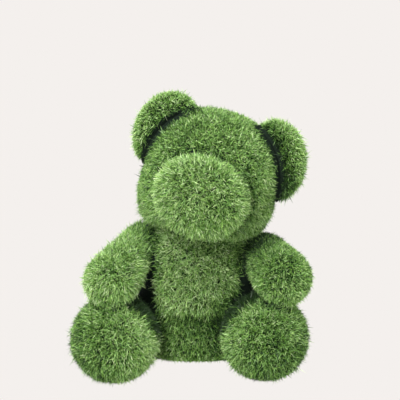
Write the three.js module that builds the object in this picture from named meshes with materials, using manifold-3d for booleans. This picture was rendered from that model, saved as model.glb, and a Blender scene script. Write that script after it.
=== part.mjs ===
// A sitting bear sculpture covered in artificial grass.
//
// Millimetres, +Z up, the bear faces -Y and sits on the floor at Z = 0.
// Left and right are the bear's own. Every form is a plump body that was covered in turf by itself
// and then joined to its neighbours: torso, head, muzzle, ears, arms and legs. A solid's surface is
// where the pile of the turf ends on average, so the tips of single blades stand a little proud of it.

import * as THREE from "three";
import { mergeVertices } from "three/addons/utils/BufferGeometryUtils.js";
import Module from "manifold-3d";

const wasm = await Module();
wasm.setup();

const { degToRad, lerp, smoothstep } = THREE.MathUtils;

// Gap that keeps two joined forms from overlapping.
const JOINT_GAP = 0.3;

// Torso: a wide flat-fronted barrel on a flat underside, with a fold where the belly hangs over.
const TORSO_WIDTH = 446;
const TORSO_DEPTH = 340;
const TORSO_HEIGHT = 520;
const TORSO_SETBACK = 12;
const TORSO_SQUARENESS = 2.6;
const SHOULDER_BLUNTNESS = 2.6;
const SEAT_WIDTH = 430;
const SEAT_EDGE_RADIUS = 26;
const FOLD_HEIGHT = 172;
const FOLD_DEPTH = 11;
const FOLD_HALF_HEIGHT = 26;

// Head: a blunt ball on the torso, leaning to the bear's left and turned a little to its right.
const HEAD_WIDTH = 507;
const HEAD_DEPTH = 480;
const CROWN_HEIGHT = 260;
const CROWN_BLUNTNESS = 2.35;
const CHIN_DEPTHS = { left: 182, right: 228 };
const CHIN_BLUNTNESS = 3.5;
const HEAD_SHIFT = 50;
const HEAD_ADVANCE = 12;
const HEAD_RAISE = 138;
const HEAD_LEAN = degToRad(15);
const HEAD_TURN = degToRad(-7.5);
const HEAD_NOD = degToRad(2);

// Muzzle: a blunt drum that stands out from the face.
const MUZZLE_WIDTH = 340;
const MUZZLE_HEIGHT = 296;
const MUZZLE_LENGTH = 260;
const MUZZLE_STANDOUT = 90;
const MUZZLE_DROP = 8;
const MUZZLE_BLUNTNESS = 2.9;

// Ears: thick oval pads sunk edgeways into the sides of the head.
const EAR_HEIGHT = 306;
const EAR_WIDTH = 236;
const EAR_THICKNESS = 118;
const EAR_BLUNTNESS = 2.5;
const EAR_SINK = 11;
const EAR_ANGLE = degToRad(57);
const EAR_SPLAY = degToRad(12);

// Arms: stubby, thickest at the paw, reaching forward to lie on the legs. A shoulder's place is
// inwards from the torso's side, back from the middle and below the torso's top. A paw's is outwards from
// the foot's axis, forward and above the leg. A dome is the height of a limb's round joint as a share of
// the joint's diameter.
const ARM_LENGTH = 432;
const ARM_DIAMETERS = { left: 208, right: 194 };
const ARM_BLUNTNESS = 2.3;
const SHOULDER_DIAMETERS = { left: 190, right: 142 };
const SHOULDER_DOME = 0.5;
const ARM_POSES = {
  left: { shoulderIn: -12, shoulderBack: 56, shoulderDrop: 150, pawOut: 56, pawAhead: 250, pawAbove: 72 },
  right: { shoulderIn: 34, shoulderBack: 54, shoulderDrop: 84, pawOut: 7, pawAhead: 250, pawAbove: 58 },
};

// Legs: straight out along the floor, thickest at the sole, flattened where they lie on the floor.
const LEG_LENGTH = 405;
const FOOT_DIAMETER = 310;
const HIP_DIAMETER = 214;
const HIP_DOME = 0.35;
const LEG_BLUNTNESS = 2.4;
const FOOT_FLATTENING = 12;
const LEG_POSES = {
  left: { hipOut: 33, hipBack: 12, footOut: 242, footAhead: 242 },
  right: { hipOut: 36, hipBack: -10, footOut: 286, footAhead: 262 },
};

// Fineness of the round forms.
const SIDES = 32;
const RINGS = 16;
const TORSO_STEPS = 19;
const SEAT_EDGE_STEPS = 3;
const LIMB_STEPS = 5;
const LIMB_END_STEPS = 7;
const WELD_DISTANCE = 1e-3;

// Side of the block of ground that the legs are cut by.
const GROUND_SIZE = 3000;

const UP = new THREE.Vector3(0, 0, 1);
const SIDE_SIGN = { left: 1, right: -1 };

const turf = (name, colour) =>
  new THREE.MeshStandardMaterial({ name, color: colour, roughness: 0.85, metalness: 0 });
const GRASS = turf("grass", 0x6b8a4b);

/** Turns a profile of [radius, height] points, from the lower pole to the upper, about Z. */
function turned(profile) {
  const points = profile.map(([radius, height]) => new THREE.Vector2(radius, height));
  return new THREE.LatheGeometry(points, SIDES).rotateX(Math.PI / 2);
}

/** Half a superellipse from the lower pole to the upper: 2 is an ellipse, more is blunter. */
function roundedProfile(radius, halfHeight, bluntness, rings = RINGS) {
  const power = 2 / bluntness;
  return Array.from({ length: rings + 1 }, (_, i) => {
    const angle = Math.PI * (i / rings - 0.5);
    const [c, s] = [Math.max(0, Math.cos(angle)), Math.sin(angle)];
    const pole = i === 0 || i === rings;
    return [pole ? 0 : radius * c ** power, halfHeight * Math.sign(s) * Math.abs(s) ** power];
  });
}

/** A closed form with welded vertices and smooth normals. */
function welded(geometry) {
  geometry.deleteAttribute("normal");
  geometry.deleteAttribute("uv");
  const merged = mergeVertices(geometry, WELD_DISTANCE);
  merged.computeVertexNormals();
  return merged;
}

/** Makes a named mesh that remembers its uncut form, for its neighbours to be cut by. */
function form(name, geometry) {
  const mesh = new THREE.Mesh(welded(geometry), GRASS);
  mesh.name = name;
  mesh.userData.uncut = mesh.geometry;
  return mesh;
}

/** The same form with its skin moved outwards. */
function grown(geometry, distance) {
  const larger = geometry.clone();
  const [position, normal] = [larger.getAttribute("position"), larger.getAttribute("normal")];
  for (let i = 0; i < position.count; i++) {
    position.setXYZ(
      i,
      position.getX(i) + distance * normal.getX(i),
      position.getY(i) + distance * normal.getY(i),
      position.getZ(i) + distance * normal.getZ(i),
    );
  }
  return larger;
}

/** A manifold solid of a welded geometry, moved by a matrix. */
function solid(geometry, matrix = new THREE.Matrix4()) {
  const moved = geometry.clone().applyMatrix4(matrix);
  const index = moved.index.array;
  const triangles = [];
  for (let i = 0; i < index.length; i += 3) {
    const [a, b, c] = [index[i], index[i + 1], index[i + 2]];
    if (a !== b && b !== c && c !== a) triangles.push(a, b, c);
  }
  return new wasm.Manifold(
    new wasm.Mesh({
      numProp: 3,
      vertProperties: new Float32Array(moved.getAttribute("position").array),
      triVerts: new Uint32Array(triangles),
    }),
  );
}

/** A geometry of a manifold solid. */
function geometryOf(manifold) {
  const mesh = manifold.getMesh();
  const geometry = new THREE.BufferGeometry();
  geometry.setAttribute("position", new THREE.BufferAttribute(mesh.vertProperties, 3));
  geometry.setIndex(new THREE.BufferAttribute(mesh.triVerts, 1));
  geometry.computeVertexNormals();
  return geometry;
}

/** Cuts a placed mesh where other placed meshes are, and leaves the joint gap. */
function seatAgainst(mesh, ...neighbours) {
  const toLocal = mesh.matrixWorld.clone().invert();
  let body = solid(mesh.geometry);
  for (const other of neighbours) {
    const toMesh = toLocal.clone().multiply(other.matrixWorld);
    body = body.subtract(solid(grown(other.userData.uncut, JOINT_GAP), toMesh));
  }
  mesh.geometry = geometryOf(body);
}

/** Cuts a placed mesh off flat at the floor. */
function cutAtFloor(mesh) {
  const block = new THREE.BoxGeometry(GROUND_SIZE, GROUND_SIZE, GROUND_SIZE);
  const ground = welded(block.translate(0, 0, -GROUND_SIZE / 2));
  const toMesh = mesh.matrixWorld.clone().invert();
  mesh.geometry = geometryOf(solid(mesh.geometry).subtract(solid(ground, toMesh)));
}

/** Half-outline of the torso: seat, rounded seat edge, fold, belly and blunt shoulders. */
function torsoProfile(bellyHeight) {
  const radius = TORSO_WIDTH / 2;
  const profile = [[0, 0]];
  for (let i = 0; i <= SEAT_EDGE_STEPS; i++) {
    const angle = (Math.PI / 2) * (i / SEAT_EDGE_STEPS);
    profile.push([
      radius - SEAT_EDGE_RADIUS * (1 - Math.sin(angle)),
      SEAT_EDGE_RADIUS * (1 - Math.cos(angle)),
    ]);
  }
  for (let i = 1; i < TORSO_STEPS; i++) {
    const angle = (Math.PI / 2) * (i / TORSO_STEPS);
    const height = lerp(SEAT_EDGE_RADIUS, TORSO_HEIGHT, Math.sin(angle));
    const rise = Math.max(0, (height - bellyHeight) / (TORSO_HEIGHT - bellyHeight));
    const swell = (1 - rise ** SHOULDER_BLUNTNESS) ** (1 / SHOULDER_BLUNTNESS);
    const fold = FOLD_DEPTH * Math.exp(-(((height - FOLD_HEIGHT) / FOLD_HALF_HEIGHT) ** 2));
    profile.push([radius * swell - fold, height]);
  }
  profile.push([0, TORSO_HEIGHT]);
  return profile;
}

/** Moves a cosine or sine towards the corners of the torso's blunt cross-section. */
function squared(value) {
  return Math.sign(value) * Math.abs(value) ** (2 / TORSO_SQUARENESS);
}

function makeTorso() {
  const bellyHeight = FOLD_HEIGHT + FOLD_HALF_HEIGHT;
  const barrel = turned(torsoProfile(bellyHeight));
  const position = barrel.getAttribute("position");
  for (let i = 0; i < position.count; i++) {
    const [x, y, z] = [position.getX(i), position.getY(i), position.getZ(i)];
    const radius = Math.hypot(x, y);
    if (radius < WELD_DISTANCE) continue;
    const low = 1 - smoothstep(z, 0, bellyHeight);
    position.setX(i, radius * squared(x / radius) * lerp(1, SEAT_WIDTH / TORSO_WIDTH, low));
    position.setY(i, radius * squared(y / radius) * (TORSO_DEPTH / TORSO_WIDTH));
  }
  const torso = form("torso", barrel);
  torso.position.y = TORSO_SETBACK;
  return torso;
}

/** Half-outline of the head: a shallow blunt chin below its widest ring and a rounder crown above. */
function headProfile() {
  const rings = RINGS + 2;
  const chin = roundedProfile(HEAD_WIDTH / 2, CHIN_DEPTHS.left, CHIN_BLUNTNESS, rings);
  const crown = roundedProfile(HEAD_WIDTH / 2, CROWN_HEIGHT, CROWN_BLUNTNESS, rings);
  return [...chin.slice(0, rings / 2), ...crown.slice(rings / 2)];
}

/** The head, whose jaw hangs lower towards the bear's right, over the shoulder that it leans away from. */
function makeHead() {
  const ball = turned(headProfile()).scale(1, HEAD_DEPTH / HEAD_WIDTH, 1);
  const position = ball.getAttribute("position");
  for (let i = 0; i < position.count; i++) {
    const z = position.getZ(i);
    if (z >= 0) continue;
    const rightness = 0.5 - position.getX(i) / HEAD_WIDTH;
    position.setZ(i, z * lerp(1, CHIN_DEPTHS.right / CHIN_DEPTHS.left, rightness ** 3));
  }
  return form("head", ball);
}

function makeMuzzle() {
  const profile = roundedProfile(MUZZLE_WIDTH / 2, MUZZLE_LENGTH / 2, MUZZLE_BLUNTNESS);
  const drum = turned(profile).scale(1, MUZZLE_HEIGHT / MUZZLE_WIDTH, 1).rotateX(Math.PI / 2);
  const muzzle = form("muzzle", drum);
  const reach = HEAD_DEPTH / 2 + MUZZLE_STANDOUT;
  muzzle.position.set(0, -(reach - MUZZLE_LENGTH / 2), -MUZZLE_DROP);
  return muzzle;
}

function makeEar(side) {
  const sign = SIDE_SIGN[side];
  const profile = roundedProfile(EAR_HEIGHT / 2, EAR_THICKNESS / 2, EAR_BLUNTNESS, RINGS - 4);
  const pad = turned(profile).rotateX(Math.PI / 2).scale(EAR_WIDTH / EAR_HEIGHT, 1, 1);
  const ear = form(`ear_${side}`, pad.rotateY(-sign * EAR_SPLAY));
  const offset = HEAD_WIDTH / 2 - EAR_SINK;
  ear.position.set(sign * offset * Math.sin(EAR_ANGLE), 0, offset * Math.cos(EAR_ANGLE));
  return ear;
}

/** Half-outline of a limb from its joint, at height 0, to its thick round end. */
function limbProfile(length, jointDiameter, jointDome, endDiameter, bluntness) {
  const end = endDiameter / 2;
  const dome = jointDiameter * jointDome;
  const power = 2 / bluntness;
  const profile = [[0, 0]];
  for (let i = 1; i <= LIMB_STEPS; i++) {
    const angle = (Math.PI / 2) * (i / LIMB_STEPS);
    const height = dome * (1 - Math.max(0, Math.cos(angle)) ** power);
    profile.push([(jointDiameter / 2) * Math.sin(angle) ** power, height]);
  }
  for (let i = 1; i < LIMB_STEPS; i++) {
    const along = i / LIMB_STEPS;
    const radius = lerp(jointDiameter / 2, end, smoothstep(along, 0, 1));
    profile.push([radius, lerp(dome, length - end, along)]);
  }
  for (let i = 0; i < LIMB_END_STEPS; i++) {
    const angle = (Math.PI / 2) * (i / LIMB_END_STEPS);
    profile.push([end * Math.cos(angle) ** power, length - end + end * Math.sin(angle) ** power]);
  }
  profile.push([0, length]);
  return profile;
}

/** Puts a limb, modelled along +Z, at its joint and points it at a target. */
function reachFor(limb, joint, target) {
  limb.position.copy(joint);
  limb.quaternion.setFromUnitVectors(UP, target.clone().sub(joint).normalize());
  return limb;
}

function makeArm(side) {
  const pose = ARM_POSES[side];
  const sign = SIDE_SIGN[side];
  const shoulder = new THREE.Vector3(
    sign * (TORSO_WIDTH / 2 - pose.shoulderIn),
    pose.shoulderBack,
    TORSO_HEIGHT - pose.shoulderDrop,
  );
  const paw = new THREE.Vector3(
    sign * (LEG_POSES[side].footOut + pose.pawOut),
    -pose.pawAhead,
    FOOT_DIAMETER - FOOT_FLATTENING + pose.pawAbove,
  );
  const [shoulderDiameter, armDiameter] = [SHOULDER_DIAMETERS[side], ARM_DIAMETERS[side]];
  const profile = limbProfile(ARM_LENGTH, shoulderDiameter, SHOULDER_DOME, armDiameter, ARM_BLUNTNESS);
  return reachFor(form(`arm_${side}`, turned(profile)), shoulder, paw);
}

function makeLeg(side) {
  const pose = LEG_POSES[side];
  const sign = SIDE_SIGN[side];
  const axisHeight = FOOT_DIAMETER / 2 - FOOT_FLATTENING;
  const hip = new THREE.Vector3(sign * (SEAT_WIDTH / 2 + pose.hipOut), pose.hipBack, axisHeight);
  const foot = new THREE.Vector3(sign * pose.footOut, -pose.footAhead, axisHeight);
  const profile = limbProfile(LEG_LENGTH, HIP_DIAMETER, HIP_DOME, FOOT_DIAMETER, LEG_BLUNTNESS);
  return reachFor(form(`leg_${side}`, turned(profile)), hip, foot);
}

/** Builds the bear, seats each form against those that carry it, and centres it over the origin. */
function makeBear() {
  const bear = new THREE.Group();
  const torso = makeTorso();
  const headGroup = new THREE.Group();
  headGroup.position.set(HEAD_SHIFT, -HEAD_ADVANCE, TORSO_HEIGHT + HEAD_RAISE);
  headGroup.rotation.set(HEAD_NOD, HEAD_LEAN, HEAD_TURN, "YZX");
  const [head, muzzle, earLeft, earRight] = [makeHead(), makeMuzzle(), makeEar("left"), makeEar("right")];
  headGroup.add(head, muzzle, earLeft, earRight);
  const [armLeft, armRight] = [makeArm("left"), makeArm("right")];
  const [legLeft, legRight] = [makeLeg("left"), makeLeg("right")];
  bear.add(torso, headGroup, armLeft, armRight, legLeft, legRight);
  bear.updateMatrixWorld(true);

  seatAgainst(head, torso);
  seatAgainst(muzzle, head, torso);
  for (const ear of [earLeft, earRight]) seatAgainst(ear, head);
  for (const leg of [legLeft, legRight]) {
    seatAgainst(leg, torso);
    cutAtFloor(leg);
  }
  seatAgainst(armLeft, torso, head, legLeft);
  seatAgainst(armRight, torso, head, legRight);

  const bounds = new THREE.Box3().setFromObject(bear, true);
  const centre = bounds.getCenter(new THREE.Vector3());
  bear.position.set(-centre.x, -centre.y, -bounds.min.z);
  return bear;
}

export default makeBear();
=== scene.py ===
"""The looks of a seated bear sculpture covered in artificial grass.

Every form of the frame becomes one piece of turf: a dark backing a little inside the solid, and separate
blades of grass that grow from it in tufts and end about at the solid's surface.
"""
import math

import bpy
import numpy as np
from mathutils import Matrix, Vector
from mathutils.bvhtree import BVHTree


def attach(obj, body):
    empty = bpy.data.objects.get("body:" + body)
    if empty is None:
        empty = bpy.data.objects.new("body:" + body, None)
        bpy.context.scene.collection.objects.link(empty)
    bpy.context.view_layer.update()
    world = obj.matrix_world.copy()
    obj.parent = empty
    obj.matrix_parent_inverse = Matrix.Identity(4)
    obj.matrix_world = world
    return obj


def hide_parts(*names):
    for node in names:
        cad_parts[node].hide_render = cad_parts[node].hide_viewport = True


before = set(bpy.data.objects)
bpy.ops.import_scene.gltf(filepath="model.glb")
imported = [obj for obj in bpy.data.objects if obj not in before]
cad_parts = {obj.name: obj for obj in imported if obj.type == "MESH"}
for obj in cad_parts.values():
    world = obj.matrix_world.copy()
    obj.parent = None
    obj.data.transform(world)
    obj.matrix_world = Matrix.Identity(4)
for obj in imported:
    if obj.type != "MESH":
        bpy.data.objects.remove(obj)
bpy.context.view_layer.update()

SEED = 41
EARS = ("ear_left", "ear_right")

# Turf: lengths in metres, counts and shares
TUFT_SPACING = 0.0048
TUFTS_PER_M2 = 32000
SAMPLES_PER_TUFT = 3
BLADES_PER_TUFT = 7
TUFT_RADIUS = 0.0030
PILE_INSET = 0.016
PILE_PROUD = -0.0004
BLADE_WIDTH = 0.0023
BLADE_WIDTH_SPREAD = 0.20
BLADE_LENGTH_SPREAD = 0.27
STRAY_SHARE = 0.12
STRAY_EXTRA = 0.45
BLADE_SHORTEST = 0.005
BLADE_LONGEST = 0.062
BLADE_KNEE = 0.50
BLADE_BEND = 0.16
BLADE_DROOP = 0.06
TUFT_LEAN = 0.28
BLADE_LEAN = 0.40
BLADE_STRAY = 0.30
LEAST_RISE = 0.35
LEAST_RISE_FOR_LENGTH = 0.6
SHORT_BLADE = 0.018
SHORT_BLADE_WIDTH = 0.6
FLOOR_CLEARANCE = 0.0015
MOST_FACES = 196000

# How far blades splay away from the middle of their form
SPLAY = 0.45
TORSO_SPLAY = 0.12

# Where one form meets another, lengths in metres
CONTACT = 0.0015
FADE_WIDTH = 0.022
REACH = 0.100
CROWD_WIDTH = 0.030
PART_AWAY = 0.5
FILL_PARTS = 0.006
CLOSE_PAIRS = {("muzzle", "head"), ("head", "muzzle")}
SINK_IN = 0.006
NEAR_ENOUGH = 0.004
BOX_MARGIN = 0.04
BARE_EDGE = 0.002
# Seams that longer turf closes: how far from the other form it starts, and how much longer it gets
FILLED_SEAMS = {
    ("arm_right", "head"): (0.070, 0.036),
    ("head", "arm_right"): (0.085, 0.040),
    ("arm_left", "head"): (0.030, 0.008),
    ("head", "arm_left"): (0.030, 0.008),
    ("arm_right", "torso"): (0.026, 0.014),
    ("arm_left", "torso"): (0.026, 0.014),
    ("torso", "arm_right"): (0.026, 0.014),
    ("torso", "arm_left"): (0.026, 0.014),
    ("torso", "head"): (0.040, 0.012),
    ("muzzle", "head"): (0.020, 0.004),
    ("head", "muzzle"): (0.020, 0.010),
    ("arm_left", "leg_left"): (0.030, 0.008),
    ("leg_left", "arm_left"): (0.030, 0.008),
    ("arm_right", "leg_right"): (0.030, 0.008),
    ("leg_right", "arm_right"): (0.030, 0.010),
    ("ear_right", "head"): (0.026, 0.012),
    ("head", "ear_right"): (0.026, 0.012),
}
# Painted shade: how much darker a form's turf is beside another form, where less light reaches it, and how
# far that reaches
CREVICE_SHADE = 0.30
CREVICE_WIDTH = 0.060
SHADES = {
    ("ear_left", "head"): (0.52, 0.080),
    ("ear_right", "head"): (0.50, 0.048),
    ("head", "ear_left"): (0.60, 0.040),
    ("head", "ear_right"): (0.85, 0.044),
    ("torso", "head"): (0.10, 0.050),
    ("torso", "arm_left"): (0.42, 0.060),
    ("torso", "arm_right"): (0.42, 0.050),
    ("torso", "leg_left"): (0.50, 0.085),
    ("torso", "leg_right"): (0.42, 0.060),
    ("arm_left", "torso"): (0.50, 0.085),
    ("arm_right", "torso"): (0.42, 0.090),
    ("arm_left", "leg_left"): (0.15, 0.030),
    ("arm_right", "leg_right"): (0.15, 0.030),
    ("leg_left", "arm_left"): (0.12, 0.030),
    ("leg_right", "arm_right"): (0.08, 0.030),
    ("leg_left", "torso"): (0.20, 0.040),
    ("leg_right", "torso"): (0.15, 0.040),
    ("arm_left", "head"): (0.44, 0.105),
    ("arm_right", "head"): (0.40, 0.098),
    ("head", "muzzle"): (0.26, 0.045),
    ("muzzle", "head"): (0.34, 0.045),
}
# Above this height the shade between head and muzzle is weaker
BROW_HEIGHT = 0.670
BROW_FADE = 0.070
BROW_SHADE = 0.45
# How wide a bare strip a form has beside another form, where the dark backing stands in for shade, and how
# ragged its edge is
RAGGED = 0.45
RAGGED_PATCH = 0.03
BARE_WIDTHS = {
    ("ear_left", "head"): 0.005,
    ("ear_right", "head"): 0.005,
    ("head", "ear_right"): 0.014,
    ("torso", "arm_left"): 0.006,
    ("torso", "arm_right"): 0.012,
    ("torso", "leg_left"): 0.010,
    ("torso", "leg_right"): 0.016,
    ("leg_left", "torso"): 0.018,
    ("leg_right", "torso"): 0.026,
}
# Painted shade on the upper inner edge of each foot, by angle in radians around the foot's axis
FOOT_RIM_SHADES = {
    "leg_right": {"inwards": 1, "width": 0.010, "shade": 0.95},
    "leg_left": {"inwards": -1, "width": 0.008, "shade": 0.80},
}
FOOT_AXIS = 0.143
RIM_FROM = 0.0
RIM_TO = 1.55
RIM_FADE = 0.4
RIM_BACK = 0.105
RIM_BACK_FADE = 0.030

# The strips between torso and legs narrow towards the floor
CREVICE_FOOT = 0.050
CREVICE_RISE = 0.130

# The bare flanks of the torso's front, behind the arms and above the legs, where the dark backing stands in
# for shade
FLANK_FROM = 0.153
FLANK_REACH = 0.095
FLANK_TOPS = {"arm_left": 0.330, "arm_right": 0.392}
FLANK_FOOT = 0.110
FLANK_RAGGED = 0.006
ARMPIT_FADE = 0.040

# The groove between an ear's front and the head, shallower near the head's crown
GROOVES = {
    "ear_left": {"depth": 0.020, "width": 0.034},
    "ear_right": {"depth": 0.024, "width": 0.018},
}
GROOVE_TOP = 0.085
GROOVE_TOP_FADE = 0.030

# The bare strips and painted shade beside that groove, by how far the turf faces forward, and that shade at
# the crown
EAR_FRONT_DEPTH = 0.02
EAR_BARE_FROM = 0.35
EAR_BARE_FADE = 0.45
EAR_SHADE_FROM = 0.1
EAR_SHADE_FADE = 0.5
EAR_CROWN_SHADE = 0.75
HEAD_CROWN_SHADE = 0.35

# The fold where the belly hangs over, and the painted shade on the turf below it
FOLD_HEIGHT = 0.188
FOLD_HALF_HEIGHT = 0.016
FOLD_DEPTH = 0.016
OVERHANG_HEIGHT = 0.034
LAP_SHADE = 0.19
OVERHANG_LEAN = (0.0, -0.10, -0.50)
HANG_MIDDLE = 0.4
HANG_REACH = 0.6

# The blades' tone, between 0 and 1
TONE_MIDDLE = 0.48
TONE_SPREAD = 0.23
TUFT_TONE_SPREAD = 0.09
PATCH_TONE = 0.07
PATCH_SIZE = 0.05
TONE_RANGE = (0.02, 0.98)

# How much lighter or darker the turf of each form is: painted light and shade, by how brightly each form is
# lit
FORM_LIGHT_TONES = {
    "torso": 0.085,
    "head": -0.08,
    "muzzle": 0.01,
    "leg_left": -0.14,
    "leg_right": -0.08,
    "arm_left": -0.10,
    "arm_right": 0.03,
    "ear_left": -0.03,
    "ear_right": 0.03,
}

# Painted light and shade: how much lighter it gets from the middle of a form to its edge on the bear's
# left, and to its top, as light falls on it
PAINTED_LIGHT_SLOPES = {
    "torso": (-0.03, 0.02),
    "head": (0.06, -0.02),
    "muzzle": (-0.02, 0.05),
    "leg_left": (-0.08, 0.13),
    "leg_right": (0.20, 0.09),
    "arm_left": (0.06, -0.06),
    "arm_right": (-0.06, -0.04),
    "ear_left": (0.04, 0.10),
    "ear_right": (-0.05, 0.0),
}

# How much more or less of the pile stands above the solid
FORM_PROUD = {
    "arm_left": -0.004,
    "ear_right": -0.003,
    "head": -0.002,
}

# The map that carries a blade's tone and the height along it
MAP_NAME = "OFBake"
BACKING_TOP = 0.18
BLADE_FOOT = 0.22
TONE_WIDTH = 0.016
BACKING_CELLS = (32, 4)
CELL_FILL = 0.9

# Colours along the tone, from dark to light, with bluer and yellower greens in turn
TONE_COLOURS = [
    (0.00, (0.006, 0.013, 0.006)),
    (0.12, (0.030, 0.080, 0.013)),
    (0.20, (0.068, 0.145, 0.038)),
    (0.28, (0.112, 0.225, 0.032)),
    (0.36, (0.142, 0.275, 0.072)),
    (0.44, (0.185, 0.325, 0.064)),
    (0.52, (0.214, 0.372, 0.126)),
    (0.60, (0.278, 0.420, 0.110)),
    (0.68, (0.315, 0.468, 0.204)),
    (0.76, (0.385, 0.518, 0.190)),
    (0.86, (0.445, 0.570, 0.300)),
    (1.00, (0.560, 0.645, 0.380)),
]
# Colours along each blade from foot to tip: the darker, bluer foot is painted shade deep in the pile, the
# lighter tip painted light
HEIGHT_COLOURS = [
    (BLADE_FOOT, (0.13, 0.24, 0.08)),
    (0.50, (0.42, 0.54, 0.35)),
    (0.78, (0.92, 0.95, 0.89)),
    (1.00, (1.16, 1.10, 1.12)),
]
BACKING_COLOURS = [
    (0.3, (0.0025, 0.005, 0.0035)),
    (0.7, (0.006, 0.011, 0.006)),
]
BLADE_ROUGHNESS = 0.48
BLADE_SPECULAR = 0.28
BLADE_TRANSLUCENCE = 0.28
BACKING_ROUGHNESS = 0.85
BACKING_SPECULAR = 0.05
BACKING_MOTTLE = 60.0

# Camera and surroundings
PHOTO_SIDE = 400
METRES_PER_PIXEL = 0.0037
CAMERA_DISTANCE = 4.0
CAMERA_ELEVATION = math.radians(14)
CAMERA_AIM = (0.0175, 0.0930, 0.438)
AIM_RIGHT = 0.01295
AIM_UP = 0.1369
SENSOR = 36.0
BACKDROP = (0.905, 0.871, 0.847)
FLOOR_SIDE = 80.0
FLOOR_REFLECTS = 0.55
CLIP_END = 200

# The air's light and the lamps, in metres and watts
AIR_LIGHT = 0.55
AIR_COLOUR = (0.93, 0.97, 1.0)
LIGHTS = {
    "key": {"at": (-1.1, -3.3, 2.8), "to": (0.0, 0.0, 0.55), "side": 1.3, "power": 290.0},
    "top": {"at": (-0.9, -1.1, 3.7), "to": (0.0, 0.0, 0.5), "side": 1.4, "power": 160.0},
    "low": {"at": (-0.6, -3.8, 0.5), "to": (0.0, 0.0, 0.4), "side": 1.4, "power": 85.0},
    "fill": {"at": (2.6, -2.6, 1.4), "to": (0.0, 0.0, 0.5), "side": 1.6, "power": 60.0},
    "rim_left": {"at": (-2.4, 1.6, 2.0), "to": (0.0, 0.0, 0.6), "side": 1.2, "power": 28.0},
    "rim_right": {"at": (2.4, 1.6, 2.0), "to": (0.0, 0.0, 0.6), "side": 1.2, "power": 85.0},
}

# Reading the solids, and how often their triangles are cut into four
WELD = 1e-5
GROUND = 1e-3
DOWNWARD = -0.9
FORM_CUTS = 1
EAR_CUTS = 2

# Soft noise
NOISE_WAVES = 9
NOISE_PITCHES = (0.7, 1.8)
NOISE_SCALE = 1.6


def smoothstep(x):
    x = np.clip(x, 0.0, 1.0)
    return x * x * (3.0 - 2.0 * x)


def unit(vectors):
    return vectors / np.maximum(np.linalg.norm(vectors, axis=-1, keepdims=True), 1e-12)


def solid_of(name):
    """The welded points and triangles of a node of the frame."""
    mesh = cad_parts[name].data
    mesh.calc_loop_triangles()
    points = np.empty(len(mesh.vertices) * 3, np.float32)
    mesh.vertices.foreach_get("co", points)
    points = points.reshape(-1, 3).astype(float)
    corners = np.empty(len(mesh.loop_triangles) * 3, np.int32)
    mesh.loop_triangles.foreach_get("vertices", corners)
    keys = np.round(points / WELD).astype(np.int64)
    _, first, inverse = np.unique(keys, axis=0, return_index=True, return_inverse=True)
    points = points[first]
    corners = inverse.reshape(-1)[corners].reshape(-1, 3)
    a, b, c = corners.T
    return points, corners[(a != b) & (b != c) & (c != a)]


def subdivided(points, corners):
    """Every triangle cut into four at the middles of its edges."""
    edges = np.sort(np.concatenate([corners[:, [0, 1]], corners[:, [1, 2]], corners[:, [2, 0]]]), axis=1)
    unique, inverse = np.unique(edges, axis=0, return_inverse=True)
    middles = points[unique].mean(axis=1)
    inverse = inverse.reshape(-1) + len(points)
    count = len(corners)
    ab = inverse[:count]
    bc = inverse[count:2 * count]
    ca = inverse[2 * count:]
    a, b, c = corners.T
    finer = np.concatenate([
        np.stack([a, ab, ca], 1),
        np.stack([ab, b, bc], 1),
        np.stack([ca, bc, c], 1),
        np.stack([ab, bc, ca], 1),
    ])
    return np.concatenate([points, middles]), finer


def face_normals(points, corners):
    """Normals as long as twice each triangle's area."""
    a, b, c = (points[corners[:, i]] for i in range(3))
    return np.cross(b - a, c - a)


solids = {name: solid_of(name) for name in sorted(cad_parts)}
trees = {name: BVHTree.FromPolygons(p.tolist(), c.tolist()) for name, (p, c) in solids.items()}
boxes = {name: (p.min(0), p.max(0)) for name, (p, c) in solids.items()}


def distances(name, points, closely=False):
    """How far the nearest other form is from each point, the way out of it, and how far each other form is.

    Nothing is farther than REACH. Forms whose turf runs together count only if it is asked for closely.
    """
    nearest = np.full(len(points), REACH)
    away = np.zeros((len(points), 3))
    by_form = {}
    for other, tree in trees.items():
        if other == name or (name, other) in CLOSE_PAIRS and not closely:
            continue
        low, high = boxes[other]
        close = np.flatnonzero(((points > low - REACH) & (points < high + REACH)).all(1))
        far = np.full(len(points), REACH)
        for i in close:
            spot, normal, _, gap = tree.find_nearest(Vector(points[i]), REACH)
            if spot is None:
                continue
            far[i] = gap
            if gap < nearest[i]:
                nearest[i] = gap
                away[i] = normal
        if len(close):
            by_form[other] = far
    return nearest, away, by_form


def patches(points, scale, rng):
    """Soft noise between about -1 and 1 that changes over distances of scale."""
    total = np.zeros(len(points))
    for _ in range(NOISE_WAVES):
        direction = unit(rng.normal(size=3))
        pitch = 2 * math.pi / (scale * rng.uniform(*NOISE_PITCHES))
        total += np.sin(points @ direction * pitch + rng.uniform(0, 2 * math.pi))
    return total / math.sqrt(NOISE_WAVES / 2) / NOISE_SCALE


def spread_out(points, spacing):
    """The indices of points that keep at least spacing from those kept before them."""
    cells = {}
    kept = []
    least = spacing * spacing
    keys = np.floor(points / spacing).astype(int).tolist()
    around = [(i, j, k) for i in (-1, 0, 1) for j in (-1, 0, 1) for k in (-1, 0, 1)]
    for index, ((x, y, z), (i, j, k)) in enumerate(zip(points.tolist(), keys)):
        clear = True
        for di, dj, dk in around:
            for px, py, pz in cells.get((i + di, j + dj, k + dk), ()):
                if (px - x) ** 2 + (py - y) ** 2 + (pz - z) ** 2 < least:
                    clear = False
                    break
            if not clear:
                break
        if clear:
            cells.setdefault((i, j, k), []).append((x, y, z))
            kept.append(index)
    return np.array(kept)


def groove_reach(points):
    """Between 0 near the head's middle and 1 farther out, where the ears' grooves are deep."""
    outwards = np.abs(points[:, 0] - (boxes["head"][0][0] + boxes["head"][1][0]) / 2)
    return smoothstep((outwards - GROOVE_TOP) / GROOVE_TOP_FADE)


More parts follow.
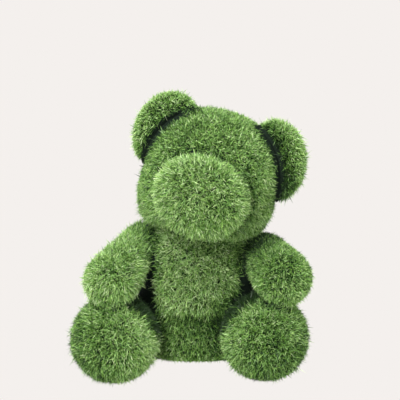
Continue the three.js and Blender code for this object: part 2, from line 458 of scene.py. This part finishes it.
def carved(name, points):
    """The points of a form after its grooves: an ear's front is pressed back beside the head."""
    if name not in EARS:
        return points
    low, high = boxes[name]
    middle = (low[1] + high[1]) / 2
    half = (high[1] - low[1]) / 2
    frontness = smoothstep((middle - points[:, 1]) / half)
    _, _, by_form = distances(name, points)
    beside = smoothstep(1 - by_form["head"] / GROOVES[name]["width"])
    pressed = points.copy()
    pressed[:, 1] += GROOVES[name]["depth"] * frontness * beside * groove_reach(points)
    return pressed


def inset_at(name, points, nearest):
    """How deep the backing lies under the solid's surface.

    It is less where another form is near, and more in the belly's fold.
    """
    inset = PILE_INSET * smoothstep((nearest - CONTACT) / FADE_WIDTH)
    if name == "torso":
        below = (points[:, 2] - (FOLD_HEIGHT - FOLD_HALF_HEIGHT)) / FOLD_HALF_HEIGHT
        inset = inset + FOLD_DEPTH * np.exp(-below ** 2) * (nearest > FADE_WIDTH)
    return inset


def open_surface(name):
    """A form's points, triangles and outward ways, its open triangles, and how near other forms are."""
    points, corners = solids[name]
    centres = points[corners].mean(axis=1)
    gap, _, _ = distances(name, centres, True)
    under = (centres[:, 2] < GROUND) & (unit(face_normals(points, corners))[:, 2] < DOWNWARD)
    free = (gap > CONTACT) & ~under
    for _ in range(EAR_CUTS if name in EARS else FORM_CUTS):
        points, corners = subdivided(points, corners)
        free = np.tile(free, 4)
    near, _, _ = distances(name, points)
    points = carved(name, points)
    normals = face_normals(points, corners)
    ways = np.zeros_like(points)
    for i in range(3):
        np.add.at(ways, corners[free, i], normals[free])
    return points, corners, unit(ways), free, near


def sampled(points, corners, ways, free, rng):
    """Tufts spread evenly over the open triangles: their places and the ways they point."""
    area = np.linalg.norm(face_normals(points, corners), axis=1) / 2 * free
    candidates = int(area.sum() * TUFTS_PER_M2) * SAMPLES_PER_TUFT
    heights = np.cumsum(area)
    face = np.searchsorted(heights, rng.uniform(0, heights[-1], candidates))
    face = np.minimum(face, len(corners) - 1)
    r1 = np.sqrt(rng.uniform(size=candidates))
    r2 = rng.uniform(size=candidates)
    weights = np.stack([1 - r1, r1 * (1 - r2), r1 * r2], 1)[:, :, None]
    spots = (points[corners[face]] * weights).sum(1)
    ups = unit((ways[corners[face]] * weights).sum(1))
    kept = spread_out(spots, TUFT_SPACING)
    return spots[kept], ups[kept]


def foot_rim_shade(name, points):
    """Between 0 and 1: how near a point of a foot is to the painted shade on its edge that faces the belly.
    """
    facts = FOOT_RIM_SHADES[name]
    low, high = boxes[name]
    radius = (high[0] - low[0]) / 2
    inwards = (points[:, 0] - (low[0] + high[0]) / 2) * facts["inwards"]
    upwards = points[:, 2] - FOOT_AXIS
    turn = np.arctan2(upwards, inwards)
    from_rim = radius - np.hypot(inwards, upwards)
    behind = smoothstep((points[:, 1] - low[1] - RIM_BACK) / RIM_BACK_FADE)
    from_rim = from_rim * (1 - behind)
    span = smoothstep((turn - RIM_FROM) / RIM_FADE) * smoothstep((RIM_TO - turn) / RIM_FADE)
    width = facts["width"] * span
    return smoothstep(1 - from_rim / np.maximum(2 * width, 1e-6)) * (from_rim < 2 * width)


def narrowed(width, share):
    """The bare width where only a share of it is left, down to the edge that is bare everywhere."""
    return BARE_EDGE + (width - BARE_EDGE) * share


def in_front_of(ear, points):
    """Between 0 and 1: how far in front of an ear's middle a point is."""
    low, high = boxes[ear]
    return smoothstep(((low[1] + high[1]) / 2 - points[:, 1]) / EAR_FRONT_DEPTH)


def arm_of(name, other):
    """The arm among two forms, of which the other is the torso."""
    return name if other == "torso" else other


def grows_here(name, spots, ups, by_form, rng):
    """Which tufts are kept: none on the bare strips beside other forms or on the torso's bare flanks, where
    the dark backing stands in for shade.
    """
    grows = np.full(len(spots), True)
    ragged = 1 + RAGGED * patches(spots, RAGGED_PATCH, rng)
    for other, far in by_form.items():
        width = np.full(len(spots), BARE_WIDTHS.get((name, other), BARE_EDGE))
        if "torso" in (name, other) and "arm" in name + other:
            top = FLANK_TOPS[arm_of(name, other)]
            width = narrowed(width, smoothstep((top - spots[:, 2]) / ARMPIT_FADE))
        if "torso" in (name, other) and "leg" in name + other:
            width = narrowed(width, smoothstep((spots[:, 2] - CREVICE_FOOT) / CREVICE_RISE))
        if name in EARS:
            width = narrowed(width, smoothstep((-ups[:, 1] - EAR_BARE_FROM) / EAR_BARE_FADE))
        if other in EARS:
            width = narrowed(width, in_front_of(other, spots) * groove_reach(spots))
        grows &= far > width * ragged
        if name == "torso" and other.startswith(("arm", "leg")):
            top = FLANK_TOPS[other.replace("leg", "arm")]
            low, high = boxes["torso"]
            middle = (low + high) / 2
            flank = FLANK_FROM + FLANK_RAGGED * (ragged - 1) / RAGGED
            side = np.abs(spots[:, 0] - middle[0]) > flank
            front = spots[:, 1] < middle[1]
            high_up = (spots[:, 2] > FLANK_FOOT) & (spots[:, 2] < top)
            grows &= ~(side & front & high_up & (far < FLANK_REACH))
    return grows


def fill_here(name, spots, by_form):
    """How much longer the turf grows, in metres, to close the seams where forms meet in the open."""
    fill = np.zeros(len(spots))
    for other, far in by_form.items():
        width, extra = FILLED_SEAMS.get((name, other), (1.0, 0.0))
        here = extra * smoothstep(1 - far / width)
        if "torso" in (name, other) and "arm" in name + other:
            top = FLANK_TOPS[arm_of(name, other)]
            here *= smoothstep((spots[:, 2] - top) / ARMPIT_FADE)
        if name in EARS or other in EARS:
            here *= 1 - groove_reach(spots)
        fill = np.maximum(fill, here)
    return fill


def shade_here(name, spots, ups, by_form):
    """How much darker the turf is beside other forms, where less light reaches it."""
    shade = np.zeros(len(spots))
    for other, far in by_form.items():
        strength, width = SHADES.get((name, other), (CREVICE_SHADE, CREVICE_WIDTH))
        here = strength * smoothstep(1 - far / width)
        if name in EARS:
            here *= smoothstep((-ups[:, 1] - EAR_SHADE_FROM) / EAR_SHADE_FADE)
            here *= EAR_CROWN_SHADE + (1 - EAR_CROWN_SHADE) * groove_reach(spots)
        if other in EARS:
            here *= in_front_of(other, spots)
            here *= HEAD_CROWN_SHADE + (1 - HEAD_CROWN_SHADE) * groove_reach(spots)
        if (name, other) in CLOSE_PAIRS:
            here *= 1 - (1 - BROW_SHADE) * smoothstep((spots[:, 2] - BROW_HEIGHT) / BROW_FADE)
        shade = np.maximum(shade, here)
    return shade


def grow(name, number):
    """The turf of one form: one mesh with its backing and its blades."""
    rng = np.random.default_rng(SEED + number)
    points, corners, ways, free, near = open_surface(name)
    spots, ups = sampled(points, corners, ways, free, rng)
    gap, away, by_form = distances(name, spots)
    touching, _, close_forms = distances(name, spots, True)
    by_form = {**close_forms, **by_form}
    fill = fill_here(name, spots, by_form)
    shade = shade_here(name, spots, ups, by_form)
    grows = grows_here(name, spots, ups, by_form, rng) & (touching > BARE_EDGE)
    most_tufts = (MOST_FACES - len(corners)) // (2 * BLADES_PER_TUFT)
    chosen = np.flatnonzero(grows)
    if len(chosen) > most_tufts:
        chosen = np.sort(rng.permutation(chosen)[:most_tufts])
    spots, ups, gap, away = spots[chosen], ups[chosen], gap[chosen], away[chosen]
    fill, shade = fill[chosen], shade[chosen]

    # Blades
    tufts = len(spots)
    count = tufts * BLADES_PER_TUFT
    tuft = np.repeat(np.arange(tufts), BLADES_PER_TUFT)
    up = ups[tuft]
    across = unit(np.cross(up, rng.normal(size=(tufts, 3))[tuft]))
    along = np.cross(up, across)
    turn = rng.uniform(0, 2 * math.pi, count)
    outward = across * np.cos(turn)[:, None] + along * np.sin(turn)[:, None]
    share = np.sqrt(rng.uniform(size=count))[:, None]
    depth = inset_at(name, spots, gap)[tuft]
    root = spots[tuft] - up * depth[:, None] + outward * share * TUFT_RADIUS
    lean = rng.normal(size=(tufts, 3)) * TUFT_LEAN
    low, high = boxes[name]
    radial = (spots - (low + high) / 2) / ((high - low) / 2)
    across_form = radial.copy()
    radial -= ups * (radial * ups).sum(1)[:, None]
    lean += radial * (TORSO_SPLAY if name == "torso" else SPLAY)
    if name != "head":
        apart = PART_AWAY * smoothstep(1 - fill / FILL_PARTS)
        lean += away * (smoothstep(1 - gap / CROWD_WIDTH) * apart)[:, None]
    if name == "torso":
        over = (spots[:, 2] - FOLD_HEIGHT) / OVERHANG_HEIGHT
        hang = smoothstep(1 - np.abs(over - HANG_MIDDLE) / HANG_REACH)
        lean += np.array(OVERHANG_LEAN) * hang[:, None]
    direction = unit(up + lean[tuft] + outward * share * BLADE_LEAN
                     + rng.normal(size=(count, 3)) * BLADE_STRAY)
    steep = (direction * up).sum(1)
    direction = unit(direction + up * np.clip(LEAST_RISE - steep, 0, None)[:, None])
    height = depth + PILE_PROUD + FORM_PROUD.get(name, 0.0)
    height *= 1 + BLADE_LENGTH_SPREAD * rng.normal(size=count)
    height *= 1 + STRAY_EXTRA * (rng.uniform(size=count) < STRAY_SHARE)
    height += fill[tuft]
    length = height / np.clip((direction * up).sum(1), LEAST_RISE_FOR_LENGTH, 1.0)
    length = np.clip(length, BLADE_SHORTEST, BLADE_LONGEST)

    # No blade runs far into another form
    for i in np.flatnonzero(touching[chosen][tuft] < length + NEAR_ENOUGH):
        start = Vector(root[i])
        heading = Vector(direction[i])
        for other, tree in trees.items():
            low, high = boxes[other]
            inside = (root[i] > low - BOX_MARGIN) & (root[i] < high + BOX_MARGIN)
            if other == name or not inside.all():
                continue
            hit = tree.ray_cast(start, heading, length[i])
            if hit[0] is not None:
                length[i] = min(length[i], hit[3] + SINK_IN)
    whole = length > BLADE_SHORTEST
    side = unit(np.cross(direction, rng.normal(size=(count, 3))))
    bend = np.cross(side, direction) * (BLADE_BEND * length * rng.normal(size=count))[:, None]
    knee = root + direction * (length * BLADE_KNEE)[:, None]
    tip = root + direction * length[:, None] + bend
    tip[:, 2] -= BLADE_DROOP * length
    for place in (root, knee, tip):
        place[:, 2] = np.maximum(place[:, 2], FLOOR_CLEARANCE)
    width = BLADE_WIDTH * (1 + BLADE_WIDTH_SPREAD * rng.normal(size=count))
    width *= np.clip(length / SHORT_BLADE, SHORT_BLADE_WIDTH, 1.0)
    half = side * (width / 2)[:, None]
    blade = np.stack([root, knee - half, knee + half, tip], 1)

    tone = TONE_MIDDLE + TONE_SPREAD * rng.normal(size=count)
    tone += TUFT_TONE_SPREAD * rng.normal(size=tufts)[tuft]
    tone += PATCH_TONE * patches(spots, PATCH_SIZE, rng)[tuft]
    # Painted light and shade: each form lighter or darker as it is lit
    tone += FORM_LIGHT_TONES.get(name, 0.0)
    # Painted light and shade: lighter towards one side and the top of each form
    sideways, upwards = PAINTED_LIGHT_SLOPES[name]
    tone += (sideways * across_form[:, 0] + upwards * across_form[:, 2])[tuft]
    # Painted shade beside other forms
    tone -= shade[tuft]
    # Painted shade on the upper inner edge of each foot
    if name in FOOT_RIM_SHADES:
        tone -= (FOOT_RIM_SHADES[name]["shade"] * foot_rim_shade(name, spots))[tuft]
    if name == "torso":
        # Painted shade: darker below the belly's fold, and darker still in the fold
        tone -= (LAP_SHADE * smoothstep((FOLD_HEIGHT - spots[:, 2]) / FOLD_HALF_HEIGHT))[tuft]
        below = (spots[:, 2] - FOLD_HEIGHT + FOLD_HALF_HEIGHT) / FOLD_HALF_HEIGHT
        tone -= (CREVICE_SHADE * np.exp(-below ** 2))[tuft]
    tone = np.clip(tone, *TONE_RANGE) * (1 - 2 * TONE_WIDTH) + TONE_WIDTH
    blade, tone = blade[whole], tone[whole]

    # Backing
    grounded = points[:, 2] < GROUND
    moved = points - ways * inset_at(name, points, near)[:, None]
    moved[grounded, 2] = points[grounded, 2]
    moved[:, 2] = np.maximum(moved[:, 2], 0.0)
    return make_mesh(name + "_turf", moved, corners, blade, tone)


def make_mesh(name, points, corners, blade, tone):
    """One object of backing triangles, and two triangles for each blade, below and above its knee."""
    backs, blades = len(corners), len(blade)
    start = len(points) + np.arange(blades) * 4
    lower = np.stack([start, start + 1, start + 2], 1)
    upper = np.stack([start + 2, start + 1, start + 3], 1)
    loops = np.concatenate([corners, lower, upper]).reshape(-1)
    faces = len(loops) // 3
    mesh = bpy.data.meshes.new(name)
    mesh.vertices.add(len(points) + blades * 4)
    places = np.concatenate([points, blade.reshape(-1, 3)])
    mesh.vertices.foreach_set("co", places.astype(np.float32).reshape(-1))
    mesh.loops.add(len(loops))
    mesh.loops.foreach_set("vertex_index", loops.astype(np.int32))
    mesh.polygons.add(faces)
    mesh.polygons.foreach_set("loop_start", np.arange(0, 3 * faces, 3, dtype=np.int32))
    is_blade = np.arange(faces) >= backs
    mesh.polygons.foreach_set("material_index", is_blade.astype(np.int32))
    mesh.polygons.foreach_set("use_smooth", ~is_blade)

    columns, rows = BACKING_CELLS
    cell = np.arange(backs)
    low_u = (cell % columns) / columns
    low_v = ((cell // columns) % rows) / rows * BACKING_TOP
    step_u, step_v = CELL_FILL / columns, CELL_FILL * BACKING_TOP / rows
    backing_map = np.stack([
        np.stack([low_u, low_v], 1),
        np.stack([low_u + step_u, low_v], 1),
        np.stack([low_u, low_v + step_v], 1),
    ], 1)
    left, right = tone - TONE_WIDTH, tone + TONE_WIDTH
    foot = np.full(blades, BLADE_FOOT)
    knee = np.full(blades, BLADE_FOOT + (1 - BLADE_FOOT) * BLADE_KNEE)
    top = np.ones(blades)
    root, left_knee = np.stack([tone, foot], 1), np.stack([left, knee], 1)
    right_knee, tip = np.stack([right, knee], 1), np.stack([tone, top], 1)
    lower_map = np.stack([root, left_knee, right_knee], 1)
    upper_map = np.stack([right_knee, left_knee, tip], 1)
    mapped = np.concatenate([backing_map, lower_map, upper_map])
    layer = mesh.uv_layers.new(name=MAP_NAME)
    layer.data.foreach_set("uv", mapped.astype(np.float32).reshape(-1))
    mesh.update(calc_edges=True)
    mesh.validate()
    mesh.materials.append(backing_material)
    mesh.materials.append(blade_material)
    piece = bpy.data.objects.new(name, mesh)
    bpy.context.scene.collection.objects.link(piece)
    return piece


def node_in(tree, kind, **values):
    made = tree.nodes.new(kind)
    for key, value in values.items():
        setattr(made, key, value)
    return made


def ramp_in(tree, stops):
    ramp = node_in(tree, "ShaderNodeValToRGB")
    elements = ramp.color_ramp.elements
    while len(elements) > 1:
        elements.remove(elements[-1])
    elements[0].position = stops[0][0]
    elements[0].color = (*stops[0][1], 1)
    for place, colour in stops[1:]:
        element = elements.new(place)
        element.color = (*colour, 1)
    return ramp


def make_blade_material():
    """Waxy plastic blades: the tone across the map, and along it darker, bluer feet below lighter tips,
    painted shade deep in the pile and painted light at the tips.
    """
    material = bpy.data.materials.new("turf_blade")
    material.use_nodes = True
    tree = material.node_tree
    tree.nodes.clear()
    place = node_in(tree, "ShaderNodeUVMap", uv_map=MAP_NAME)
    split = node_in(tree, "ShaderNodeSeparateXYZ")
    tree.links.new(place.outputs["UV"], split.inputs[0])
    tone = ramp_in(tree, TONE_COLOURS)
    tree.links.new(split.outputs["X"], tone.inputs["Fac"])
    height = ramp_in(tree, HEIGHT_COLOURS)
    tree.links.new(split.outputs["Y"], height.inputs["Fac"])
    mixed = node_in(tree, "ShaderNodeMix", data_type="RGBA", blend_type="MULTIPLY")
    mixed.inputs["Factor"].default_value = 1.0
    tree.links.new(tone.outputs["Color"], mixed.inputs[6])
    tree.links.new(height.outputs["Color"], mixed.inputs[7])
    wax = node_in(tree, "ShaderNodeBsdfPrincipled")
    wax.inputs["Roughness"].default_value = BLADE_ROUGHNESS
    wax.inputs["Specular IOR Level"].default_value = BLADE_SPECULAR
    tree.links.new(mixed.outputs[2], wax.inputs["Base Color"])
    through = node_in(tree, "ShaderNodeBsdfTranslucent")
    tree.links.new(mixed.outputs[2], through.inputs["Color"])
    both = node_in(tree, "ShaderNodeMixShader")
    both.inputs["Fac"].default_value = BLADE_TRANSLUCENCE
    tree.links.new(wax.outputs["BSDF"], both.inputs[1])
    tree.links.new(through.outputs["BSDF"], both.inputs[2])
    out = node_in(tree, "ShaderNodeOutputMaterial")
    tree.links.new(both.outputs["Shader"], out.inputs["Surface"])
    return material


def make_backing_material():
    """Dark latex backing with a fine mottle."""
    material = bpy.data.materials.new("turf_backing")
    material.use_nodes = True
    tree = material.node_tree
    tree.nodes.clear()
    place = node_in(tree, "ShaderNodeUVMap", uv_map=MAP_NAME)
    noise = node_in(tree, "ShaderNodeTexNoise")
    noise.inputs["Scale"].default_value = BACKING_MOTTLE
    tree.links.new(place.outputs["UV"], noise.inputs["Vector"])
    mottle = ramp_in(tree, BACKING_COLOURS)
    tree.links.new(noise.outputs["Fac"], mottle.inputs["Fac"])
    latex = node_in(tree, "ShaderNodeBsdfPrincipled")
    latex.inputs["Roughness"].default_value = BACKING_ROUGHNESS
    latex.inputs["Specular IOR Level"].default_value = BACKING_SPECULAR
    tree.links.new(mottle.outputs["Color"], latex.inputs["Base Color"])
    out = node_in(tree, "ShaderNodeOutputMaterial")
    tree.links.new(latex.outputs["BSDF"], out.inputs["Surface"])
    return material


def make_stage():
    """A large pale floor that looks evenly lit, and air of the same colour."""
    half = FLOOR_SIDE / 2
    mesh = bpy.data.meshes.new("floor")
    square = [(-half, -half, 0), (half, -half, 0), (half, half, 0), (-half, half, 0)]
    mesh.from_pydata(square, [], [(0, 1, 2, 3)])
    floor = bpy.data.objects.new("floor", mesh)
    bpy.context.scene.collection.objects.link(floor)
    material = bpy.data.materials.new("floor")
    material.use_nodes = True
    tree = material.node_tree
    tree.nodes.clear()
    seen = node_in(tree, "ShaderNodeLightPath")
    glow = node_in(tree, "ShaderNodeEmission")
    glow.inputs["Color"].default_value = (*BACKDROP, 1)
    dull = node_in(tree, "ShaderNodeBsdfDiffuse")
    dull.inputs["Color"].default_value = (*(FLOOR_REFLECTS * c for c in BACKDROP), 1)
    mixed = node_in(tree, "ShaderNodeMixShader")
    tree.links.new(seen.outputs["Is Camera Ray"], mixed.inputs["Fac"])
    tree.links.new(dull.outputs["BSDF"], mixed.inputs[1])
    tree.links.new(glow.outputs["Emission"], mixed.inputs[2])
    out = node_in(tree, "ShaderNodeOutputMaterial")
    tree.links.new(mixed.outputs["Shader"], out.inputs["Surface"])
    mesh.materials.append(material)
    world = bpy.data.worlds.new("air")
    bpy.context.scene.world = world
    world.use_nodes = True
    tree = world.node_tree
    tree.nodes.clear()
    seen = node_in(tree, "ShaderNodeLightPath")
    shown = node_in(tree, "ShaderNodeBackground")
    shown.inputs["Color"].default_value = (*BACKDROP, 1)
    soft = node_in(tree, "ShaderNodeBackground")
    soft.inputs["Color"].default_value = (*AIR_COLOUR, 1)
    soft.inputs["Strength"].default_value = AIR_LIGHT
    mixed = node_in(tree, "ShaderNodeMixShader")
    tree.links.new(seen.outputs["Is Camera Ray"], mixed.inputs["Fac"])
    tree.links.new(soft.outputs["Background"], mixed.inputs[1])
    tree.links.new(shown.outputs["Background"], mixed.inputs[2])
    out = node_in(tree, "ShaderNodeOutputWorld")
    tree.links.new(mixed.outputs["Shader"], out.inputs["Surface"])


def make_lights():
    for name, facts in LIGHTS.items():
        light = bpy.data.lights.new(name, "AREA")
        light.shape = "DISK"
        light.size = facts["side"]
        light.energy = facts["power"]
        lamp = bpy.data.objects.new(name, light)
        lamp.location = facts["at"]
        aim = Vector(facts["to"]) - Vector(facts["at"])
        lamp.rotation_euler = aim.to_track_quat("-Z", "Y").to_euler()
        bpy.context.scene.collection.objects.link(lamp)


def make_camera():
    back = Vector((0, -math.cos(CAMERA_ELEVATION), math.sin(CAMERA_ELEVATION)))
    up = Vector((0, math.sin(CAMERA_ELEVATION), math.cos(CAMERA_ELEVATION)))
    right = Vector((1, 0, 0))
    aim = Vector(CAMERA_AIM) + right * AIM_RIGHT + up * AIM_UP
    data = bpy.data.cameras.new("camera")
    data.sensor_fit = "HORIZONTAL"
    data.sensor_width = SENSOR
    data.lens = CAMERA_DISTANCE / (METRES_PER_PIXEL * PHOTO_SIDE) * SENSOR
    data.clip_end = CLIP_END
    camera = bpy.data.objects.new("camera", data)
    camera.location = aim + back * CAMERA_DISTANCE
    camera.rotation_euler = (-back).to_track_quat("-Z", "Y").to_euler()
    bpy.context.scene.collection.objects.link(camera)
    bpy.context.scene.camera = camera


blade_material = make_blade_material()
backing_material = make_backing_material()
for number, node in enumerate(solids):
    turf = grow(node, number)
    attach(turf, "root")
    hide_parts(node)
make_stage()
make_lights()
make_camera()
bpy.context.scene.view_settings.view_transform = "Standard"
